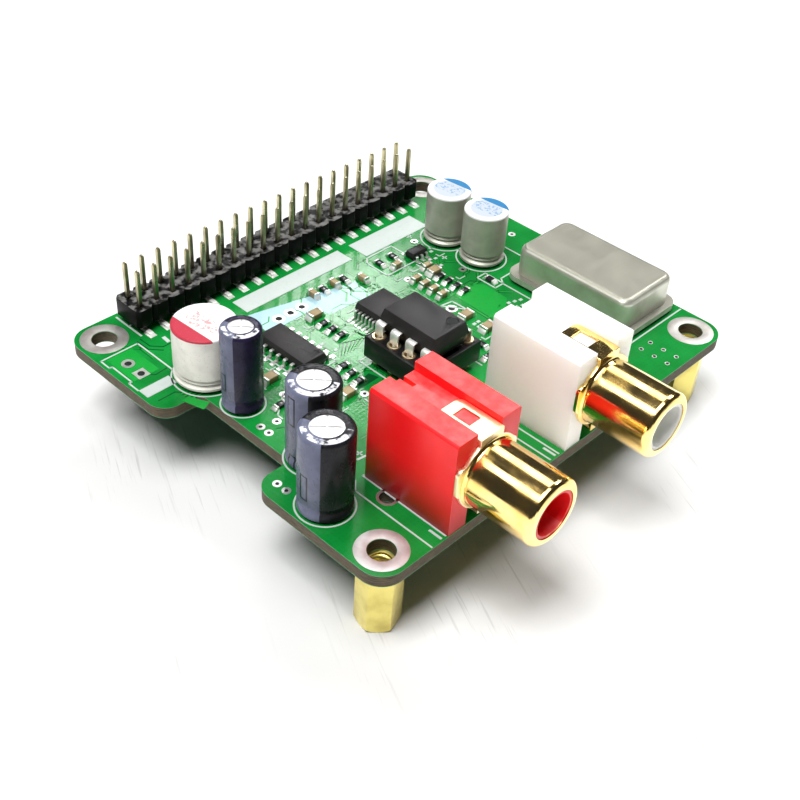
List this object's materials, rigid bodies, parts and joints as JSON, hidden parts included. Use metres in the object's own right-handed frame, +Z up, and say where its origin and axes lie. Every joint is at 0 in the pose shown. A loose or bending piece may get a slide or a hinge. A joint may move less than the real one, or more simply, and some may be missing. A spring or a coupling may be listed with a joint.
{
  "type": "audio dac board",
  "caption": "Green add-on circuit board with two phono output jacks, a two-row pin header, capacitors, a canned oscillator, a socketed chip and brass standoffs.",
  "frame": {"origin": "centre of the four mounting holes, on the underside of the laminate", "axes": "+X along the pin header, +Y from the output jacks towards the header, +Z up out of the component side"},
  "size_m": [0.065, 0.0653, 0.0233],
  "materials": {
    "laminate": "gloss",
    "black_plastic": "matt",
    "pin_plate": "satin",
    "brass": "machined",
    "red_plastic": "gloss",
    "white_plastic": "gloss",
    "gold_plate": "polished",
    "bare_can": "satin",
    "white_can": "coated",
    "silver_can": "coated",
    "black_sleeve": "gloss",
    "navy_sleeve": "gloss",
    "seal_rubber": "matt",
    "tinned_wire": "satin",
    "nickel_can": "brushed",
    "moulded_epoxy": "matt",
    "tinned_lead": "satin",
    "resistor_body": "satin",
    "ceramic_body": "matt"
  },
  "bodies": {
    "root": {"circuit_board": "laminate", "header_strip": "black_plastic", "header_pins": "pin_plate", "header_feet": "tinned_lead", "socket_strip": "black_plastic", "socket_contacts": "pin_plate", "standoff_left": "brass", "standoff_right": "brass", "red_jack_housing": "red_plastic", "red_jack_barrel": "gold_plate", "red_jack_ground": "gold_plate", "red_jack_contact": "gold_plate", "white_jack_housing": "white_plastic", "white_jack_barrel": "gold_plate", "white_jack_ground": "gold_plate", "white_jack_contact": "gold_plate", "front_capacitor_can": "bare_can", "front_capacitor_sleeve": "black_sleeve", "front_capacitor_seal": "seal_rubber", "front_capacitor_leads": "tinned_wire", "middle_capacitor_can": "bare_can", "middle_capacitor_sleeve": "black_sleeve", "middle_capacitor_seal": "seal_rubber", "middle_capacitor_leads": "tinned_wire", "slim_capacitor_can": "bare_can", "slim_capacitor_sleeve": "navy_sleeve", "slim_capacitor_seal": "seal_rubber", "slim_capacitor_leads": "tinned_wire", "white_capacitor_can": "white_can", "white_capacitor_seal": "seal_rubber", "white_capacitor_leads": "tinned_wire", "rear_silver_capacitor_can": "silver_can", "rear_silver_capacitor_seal": "seal_rubber", "rear_silver_capacitor_leads": "tinned_wire", "front_silver_capacitor_can": "silver_can", "front_silver_capacitor_seal": "seal_rubber", "front_silver_capacitor_leads": "tinned_wire", "oscillator_can": "nickel_can", "oscillator_base": "nickel_can", "oscillator_pins": "pin_plate", "amplifier_body": "moulded_epoxy", "amplifier_legs": "tinned_lead", "amplifier_socket": "black_plastic", "amplifier_socket_contacts": "gold_plate", "converter_body": "moulded_epoxy", "converter_leads": "tinned_lead", "logic_body": "moulded_epoxy", "logic_leads": "tinned_lead", "regulator_body": "moulded_epoxy", "regulator_leads": "tinned_lead", "chip_resistors": "resistor_body", "chip_capacitors": "ceramic_body", "chip_terminals": "tinned_lead"}
  },
  "joints": []
}
